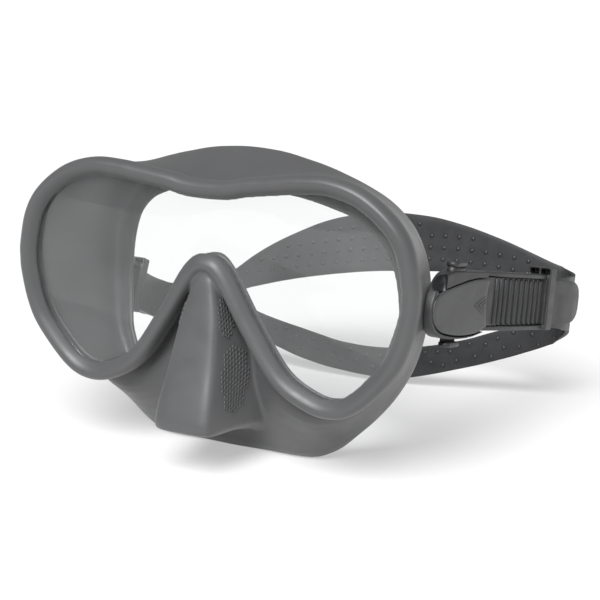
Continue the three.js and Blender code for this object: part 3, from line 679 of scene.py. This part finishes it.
def swept(place, y0, y1, inner, outer, bottom, top, steps):
    """Rectangular bar that follows the rails' centre line."""
    rings = []
    for y in np.linspace(y0, y1, steps):
        n = rail_normal(y)
        a = np.array([rail_x(y), y]) + n * outer
        b = np.array([rail_x(y), y]) + n * inner
        rings += [(*a, top), (*b, top), (*b, bottom), (*a, bottom)]
    return mesh_object("bar", place(rings), ring_faces(steps, 4, False))


def oval_bar(place, x, half_x, half_y, z0, z1):
    """Upright bar with rounded ends in plan."""
    plan = []
    for a in np.linspace(0, 2 * math.pi, 36, endpoint=False):
        straight = math.copysign(half_y - half_x, math.cos(a))
        plan.append((x + half_x * math.sin(a), straight + half_x * math.cos(a)))
    rings = [(*p, z) for z in (z0, z1) for p in plan]
    return mesh_object("oval", place(rings), ring_faces(2, len(plan), False))


def ellipsoid(place, centre, radii):
    rings = []
    pole = 0.12
    for a in np.linspace(pole, math.pi - pole, 14):
        for b in np.linspace(0, 2 * math.pi, 24, endpoint=False):
            unit = np.array([math.sin(a) * math.cos(b), math.sin(a) * math.sin(b), math.cos(a)])
            rings.append(np.array(centre) + unit * radii)
    return mesh_object("ball", place(rings), ring_faces(14, 24, False))


def buckle_body(side):
    place = buckle_place(side)
    pod = prism(place, outline(POD_LINE), POD_X[0], lambda y: cover_plane(y, 0.2))
    # Both the cover's seat and the room below it run out through the pod's outer face and rear end.
    past = 30
    seat = np.vstack([outline(COVER_LINE, -0.45), [(past, -10.4), (past, 8.4)]])
    cut(pod, prism(place, seat, lambda y: cover_plane(y, COVER_T + CLEAR), 105))
    room = np.vstack([outline(COVER_LINE, 1.0), [(past, -9.4), (past, 7.4)]])
    cut(pod, prism(place, room, POD_X[1], 104))
    for middle, radii in SCOOPS:
        cut(pod, ellipsoid(place, middle, radii))
    pieces = [pod]
    for k in (1, -1):
        low, high = sorted((k * RAIL_Z[0], k * RAIL_Z[1]))
        x, half_x, half_y = STEMS["top" if k > 0 else "bottom"]
        cut(pod, oval_bar(place, x, half_x + CLEAR, half_y + CLEAR, *(k * z for z in STEM_HOLE)))
        pieces.append(swept(place, RAIL_START, RAIL_END, -RAIL_W, RAIL_W, low, high, 30))
        end = swept(place, BAR_Y, RAIL_END, -BAR_X[1], BAR_X[1], low, LOOP_TOP if k > 0 else high, 6)
        if k > 0:
            for window in WINDOWS:
                cut(end, swept(place, BAR_Y - 1, WINDOW_END, *window, RAIL_Z[1], WINDOW_TOP, 4))
        pieces.append(end)
        bar = sorted((k * BAR_X[0], k * BAR_X[1]))
        pieces.append(swept(place, BAR_Y, RAIL_END, *bar, -RAIL_Z[1], RAIL_Z[1], 6))
    body = joined(f"buckle_frame_{side}", pieces)
    modify(body, "REMESH", mode="VOXEL", voxel_size=FINE_VOXEL * MM, use_smooth_shade=True)
    modify(body, "SMOOTH", factor=0.5, iterations=3)
    bake(body)
    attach(body, "headstrap")
    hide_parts(f"buckle_body_{side}")
    return body


def buckle_cover(side):
    """Cover plate with softened edges and three raised chevrons near its rear edge."""
    place = buckle_place(side)
    line = np.vstack([outline(COVER_LINE), COVER_REAR])
    middle = line.mean(axis=0)
    rings = []
    for depth, inset in COVER_EDGE:
        toward = middle - line
        toward /= np.linalg.norm(toward, axis=1)[:, None]
        ring = line + toward * inset
        rings.append(np.column_stack([cover_plane(ring[:, 0], depth), ring]))
    for shrink, dip in COVER_DISH:
        ring = middle + (line - middle) * shrink
        rings.append(np.column_stack([cover_plane(ring[:, 0], dip), ring]))
    plate = mesh_object("plate", place(np.vstack(rings)), ring_faces(len(rings), len(line), False))
    parts = [plate]
    up = np.array([1, -COVER_SLOPE, 0]) / math.hypot(1, COVER_SLOPE)
    for apex, reach in CHEVRONS:
        for k in (1, -1):
            tip = (reach[0], apex[1] + k * reach[1])
            ends = [np.array([cover_plane(y, 0.06), y, z]) for y, z in (apex, tip)]
            across = np.cross(up, ends[1] - ends[0])
            across /= np.linalg.norm(across)
            points, faces = bar_mesh(ends, across, up, CHEVRON_R, CHEVRON_R)
            parts.append(mesh_object("chevron", place(points), faces))
    obj = joined(f"cover_plate_{side}", parts)
    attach(obj, "headstrap")
    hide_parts(f"buckle_cover_{side}")
    return obj


def push_button(side, where):
    """Oval push button on a stem; the upper one has a raised ring round a dimple."""
    place = buckle_place(side)
    k = 1 if where == "top" else -1
    foot = PAD_TOP if k > 0 else PAD_BOTTOM
    profile = [(0.93, 0), (1, 0.25), (1, PAD_T - 0.5), (0.96, PAD_T - 0.12), (0.88, PAD_T)]
    if k > 0:
        profile += [(0.66, PAD_T - 0.05), (0.58, PAD_T - 0.35), (0.5, PAD_T - 1.15), (0.2, PAD_T - 1.25)]
    else:
        profile += [(0.6, PAD_T - 0.02), (0.2, PAD_T)]
    rings = []
    for grow, height in profile:
        for a in np.linspace(0, 2 * math.pi, PAD_SIDES, endpoint=False):
            # The rings within the pad's edge are shorter.
            straight = math.copysign(PAD_REACH, math.cos(a)) * (1 if grow > 0.7 else 0.8)
            y = (straight + PAD_R * math.cos(a)) * grow
            rings.append((PAD_X + PAD_R * math.sin(a) * grow, y, k * (foot + height)))
    pad = mesh_object("pad", place(rings), ring_faces(len(profile), PAD_SIDES, False))
    stem = oval_bar(place, *STEMS[where], k * BUTTON_FOOT, k * (foot + 0.6))
    obj = joined(f"push_button_{where}_{side}", [pad, stem])
    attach(obj, f"button_{where}_{side}")
    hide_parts(f"button_{where}_{side}")
    return obj


# ------------------------------------------------------------------ nose grips
def hex_rings(nose, centre, radii, lean, s):
    """Hexagonal cells over an ellipse on one side of the nose."""
    tree = BVHTree.FromObject(nose, bpy.context.evaluated_depsgraph_get())
    made = []
    dy, dz = CELL_R * 1.5, CELL_R * math.sqrt(3)
    span_y, span_z = int(radii[0] / dy) + 2, int(radii[1] / dz) + 2
    for i in range(-span_y, span_y + 1):
        for j in range(-span_z, span_z + 1):
            y, z = i * dy, (j + 0.5 * (i % 2)) * dz
            if (y / radii[0]) ** 2 + (z / radii[1]) ** 2 > 1:
                continue
            middle = np.array([centre[0] + y + lean * z, centre[1] + z])
            made += hex_cell(tree, middle, s)
    return made


def hex_cell(tree, middle, s):
    """One raised ring of six sides, or nothing where it would reach past the nose."""
    rings = []
    beside = s * 60
    for a in np.linspace(0, 2 * math.pi, 6, endpoint=False):
        for r, h in CELL_PROFILE:
            y = middle[0] + CELL_R * r * math.cos(a)
            z = middle[1] + CELL_R * r * math.sin(a)
            start = Vector(np.array([beside, y, z]) * MM + ORIGIN)
            spot, normal, _, _ = tree.ray_cast(start, Vector((-s, 0, 0)))
            if spot is None:
                return []
            out = normal if normal.x * s > 0 else -normal
            rings.append((np.array(spot) - ORIGIN) / MM + np.array(out) * h)
    faces = []
    for i in range(6):
        a, b = 4 * i, 4 * ((i + 1) % 6)
        faces += [(a + j, b + j, b + (j + 1) % 4, a + (j + 1) % 4) for j in range(4)]
    return [(np.array(rings), faces)]


def nose_grips(nose):
    points, faces = [], []
    for s in (1, -1):
        for centre, radii, lean in GRIPS:
            for cell, cell_faces in hex_rings(nose, centre, radii, lean, s):
                faces += [tuple(len(points) + i for i in f) for f in cell_faces]
                points += list(cell)
    return mesh_object("grips", points, faces, smooth=False)


# ------------------------------------------------------------------ materials
class Nodes:
    """Short way to lay out a material's node tree."""

    def __init__(self, name):
        self.mat = bpy.data.materials.new(name)
        self.mat.use_nodes = True
        self.tree = self.mat.node_tree
        self.tree.nodes.clear()
        self.out = self.add("ShaderNodeOutputMaterial")

    def add(self, kind, **settings):
        node = self.tree.nodes.new(kind)
        for key, value in settings.items():
            if key in node.inputs:
                node.inputs[key].default_value = value
            else:
                setattr(node, key, value)
        return node

    def link(self, a, out, b, into):
        self.tree.links.new(a.outputs[out], b.inputs[into])

    def noise(self, scale, detail, rough=0.55):
        coords = self.add("ShaderNodeTexCoord")
        node = self.add("ShaderNodeTexNoise", Scale=scale, Detail=detail, Roughness=rough)
        self.link(coords, "Object", node, "Vector")
        return node

    def ramp(self, source, low, high):
        """Maps the middle of a noise's range to low and high."""
        node = self.add("ShaderNodeMapRange")
        node.inputs["From Min"].default_value = 0.3
        node.inputs["From Max"].default_value = 0.7
        node.inputs["To Min"].default_value = low
        node.inputs["To Max"].default_value = high
        self.link(source, "Fac", node, "Value")
        return node


def moulded(name, tone, spread, rough, grain=4200, depth=0.25, sheen=0.0):
    """Moulded silicone or plastic: faint cloudiness, fine mould grain, roughness that varies a little."""
    n = Nodes(name)
    shade = n.add("ShaderNodeBsdfPrincipled", Roughness=rough)
    shade.inputs["Sheen Weight"].default_value = sheen
    shade.inputs["Sheen Roughness"].default_value = 0.5
    cloud = n.noise(38, 5)
    colour = n.add("ShaderNodeMix", data_type="RGBA")
    colour.inputs[6].default_value = [c * (1 - spread) for c in tone] + [1]
    colour.inputs[7].default_value = [c * (1 + spread) for c in tone] + [1]
    n.link(n.ramp(cloud, 0, 1), "Result", colour, 0)
    n.link(colour, 2, shade, "Base Color")
    n.link(n.ramp(n.noise(150, 3), rough - 0.06, rough + 0.06), "Result", shade, "Roughness")
    bump = n.add("ShaderNodeBump", Strength=depth, Distance=0.00006)
    n.link(n.noise(grain, 2, 0.6), "Fac", bump, "Height")
    n.link(bump, "Normal", shade, "Normal")
    n.link(shade, "BSDF", n.out, "Surface")
    return n.mat


def steel_material():
    n = Nodes("stainless")
    shade = n.add("ShaderNodeBsdfPrincipled", Metallic=1.0, Roughness=0.3)
    grain = n.noise(900, 6, 0.7)
    n.link(n.ramp(grain, 0.22, 0.42), "Result", shade, "Roughness")
    tone = n.add("ShaderNodeMix", data_type="RGBA")
    tone.inputs[6].default_value = (0.5, 0.51, 0.52, 1)
    tone.inputs[7].default_value = (0.68, 0.69, 0.7, 1)
    n.link(n.ramp(grain, 0, 1), "Result", tone, 0)
    n.link(tone, 2, shade, "Base Color")
    n.link(shade, "BSDF", n.out, "Surface")
    return n.mat


def glass_material():
    """Clear pane: see-through with a glancing gloss and a trace of haze."""
    n = Nodes("tempered_glass")
    clear = n.add("ShaderNodeBsdfTransparent")
    clear.inputs["Color"].default_value = (0.965, 0.972, 0.972, 1)
    gloss = n.add("ShaderNodeBsdfGlossy", Roughness=0.02)
    haze = n.add("ShaderNodeBsdfDiffuse")
    haze.inputs["Color"].default_value = (0.8, 0.82, 0.82, 1)
    film = n.add("ShaderNodeMixShader")
    smear = n.noise(25, 3)
    n.link(n.ramp(smear, 0.015, 0.04), "Result", film, 0)
    n.link(clear, 0, film, 1)
    n.link(haze, 0, film, 2)
    pane = n.add("ShaderNodeMixShader")
    facing = n.add("ShaderNodeLayerWeight", Blend=0.5)
    glance = n.add("ShaderNodeMath", operation="POWER")
    glance.inputs[1].default_value = 5
    n.link(facing, "Facing", glance, 0)
    mirror = n.add("ShaderNodeMapRange")
    mirror.inputs["To Min"].default_value = 0.035
    n.link(glance, 0, mirror, "Value")
    n.link(mirror, "Result", pane, 0)
    n.link(film, 0, pane, 1)
    n.link(gloss, 0, pane, 2)
    n.link(pane, 0, n.out, "Surface")
    return n.mat


def paint(obj, material):
    obj.data.materials.clear()
    obj.data.materials.append(material)


# ------------------------------------------------------------------ studio
FLOOR_HALF = 150.0  # metres, so far that its edge lies almost on the horizon
FLOOR_DROP = 0.0002
FLOOR_GLOW = 0.42
SKY_LIGHT = 0.26
CAMERA_TURN = (25.569, 13.034, 1.282)  # degrees towards +X, up, and about its own axis
CAMERA_TARGET = np.array([39.72, 0.0, -0.32])
CAMERA_DISTANCE = 0.45453


def bearing(turn, rise):
    """Direction `turn` radians from the front towards +X and `rise` radians up."""
    return Vector((math.sin(turn) * math.cos(rise), -math.cos(turn) * math.cos(rise), math.sin(rise)))


def studio():
    n = Nodes("studio_floor")
    shade = n.add("ShaderNodeBsdfPrincipled", Roughness=0.9)
    shade.inputs["Emission Color"].default_value = (1, 1, 1, 1)
    shade.inputs["Emission Strength"].default_value = FLOOR_GLOW
    tone = n.add("ShaderNodeMix", data_type="RGBA")
    tone.inputs[6].default_value = (0.47, 0.47, 0.47, 1)
    tone.inputs[7].default_value = (0.5, 0.5, 0.5, 1)
    n.link(n.ramp(n.noise(3, 3), 0, 1), "Result", tone, 0)
    n.link(tone, 2, shade, "Base Color")
    n.link(shade, "BSDF", n.out, "Surface")
    mesh = bpy.data.meshes.new("floor")
    r = FLOOR_HALF
    z = CAD_BOX[0][2] - FLOOR_DROP
    mesh.from_pydata([(-r, -r, z), (r, -r, z), (r, r, z), (-r, r, z)], [], [(0, 1, 2, 3)])
    floor = add_object("floor", mesh)
    paint(floor, n.mat)
    bpy.context.scene.view_settings.view_transform = "Standard"
    world = bpy.data.worlds.new("studio")
    bpy.context.scene.world = world
    world.use_nodes = True
    tree = world.node_tree
    tree.nodes["Background"].inputs["Color"].default_value = (1, 1, 1, 1)
    # The sky is seen as white as the floor, and lights the mask less than that.
    seen = tree.nodes.new("ShaderNodeLightPath")
    strength = tree.nodes.new("ShaderNodeMapRange")
    strength.inputs["To Min"].default_value = SKY_LIGHT
    tree.links.new(seen.outputs["Is Camera Ray"], strength.inputs["Value"])
    tree.links.new(strength.outputs["Result"], tree.nodes["Background"].inputs["Strength"])
    sun("key", 5, 46, 4.5)
    light("fill", (1.0, -0.5, 0.5), 0.8, 1.2)


def sun(name, turn, rise, strength):
    """Very soft distant light from in front, `turn` degrees towards +X and `rise` degrees up."""
    data = bpy.data.lights.new(name, "SUN")
    data.angle = math.radians(35)
    data.energy = strength
    back = bearing(math.radians(turn), math.radians(rise))
    add_object(name, data).rotation_euler = back.to_track_quat("Z", "Y").to_euler()


def light(name, place, size, power):
    """Square lamp at `place`, aimed at the middle of the mask."""
    data = bpy.data.lights.new(name, "AREA")
    data.size = size
    data.energy = power
    obj = add_object(name, data)
    obj.location = place
    aim = Vector((0, 0, 0.06)) - Vector(place)
    obj.rotation_euler = aim.to_track_quat("-Z", "Y").to_euler()


def camera():
    """Camera in front, to the wearer's left and a little above, turned slightly about its own axis."""
    turn, rise, roll = (math.radians(v) for v in CAMERA_TURN)
    back = bearing(turn, rise)
    right = Vector((math.cos(turn), math.sin(turn), 0))
    up = back.cross(right)
    x = right * math.cos(roll) + up * math.sin(roll)
    y = up * math.cos(roll) - right * math.sin(roll)
    data = bpy.data.cameras.new("camera")
    data.sensor_width = 36
    data.lens = 78
    data.clip_start = 0.01
    data.clip_end = 400
    cam = add_object("camera", data)
    cam.matrix_world = Matrix((x, y, back)).transposed().to_4x4()
    cam.location = Vector(CAMERA_TARGET * MM + ORIGIN) + back * CAMERA_DISTANCE
    bpy.context.scene.camera = cam


# ------------------------------------------------------------------ build
SILICONE = moulded("silicone", (0.07, 0.071, 0.073), 0.05, 0.42, sheen=0.1)
STRAP = moulded("strap_silicone", (0.024, 0.0245, 0.026), 0.1, 0.42)
PLASTIC = moulded("buckle_plastic", (0.025, 0.0255, 0.027), 0.06, 0.42, grain=2600, depth=0.35)
COVER = moulded("cover_plastic", (0.052, 0.053, 0.055), 0.05, 0.42, grain=2600, depth=0.3)
STEEL = steel_material()
GLASS = glass_material()
CAD_LOOKS = {
    "swivel_pin": STEEL, "swivel_cap": PLASTIC, "spring": STEEL,
    "pawl_pin": STEEL, "pawl": PLASTIC, "roller_pin": STEEL, "roller": PLASTIC,
}


def paint_cad():
    for name, obj in frame["nodes"].items():
        for key, material in CAD_LOOKS.items():
            if name.startswith(key):
                paint(obj, material)
                break


camera()
studio()
paint_cad()
paint(skirt(), SILICONE)
paint(lens(), GLASS)
paint(strap(), STRAP)
for side in SIDES:
    paint(buckle_body(side), PLASTIC)
    paint(buckle_cover(side), COVER)
    for where in ("top", "bottom"):
        paint(push_button(side, where), PLASTIC)
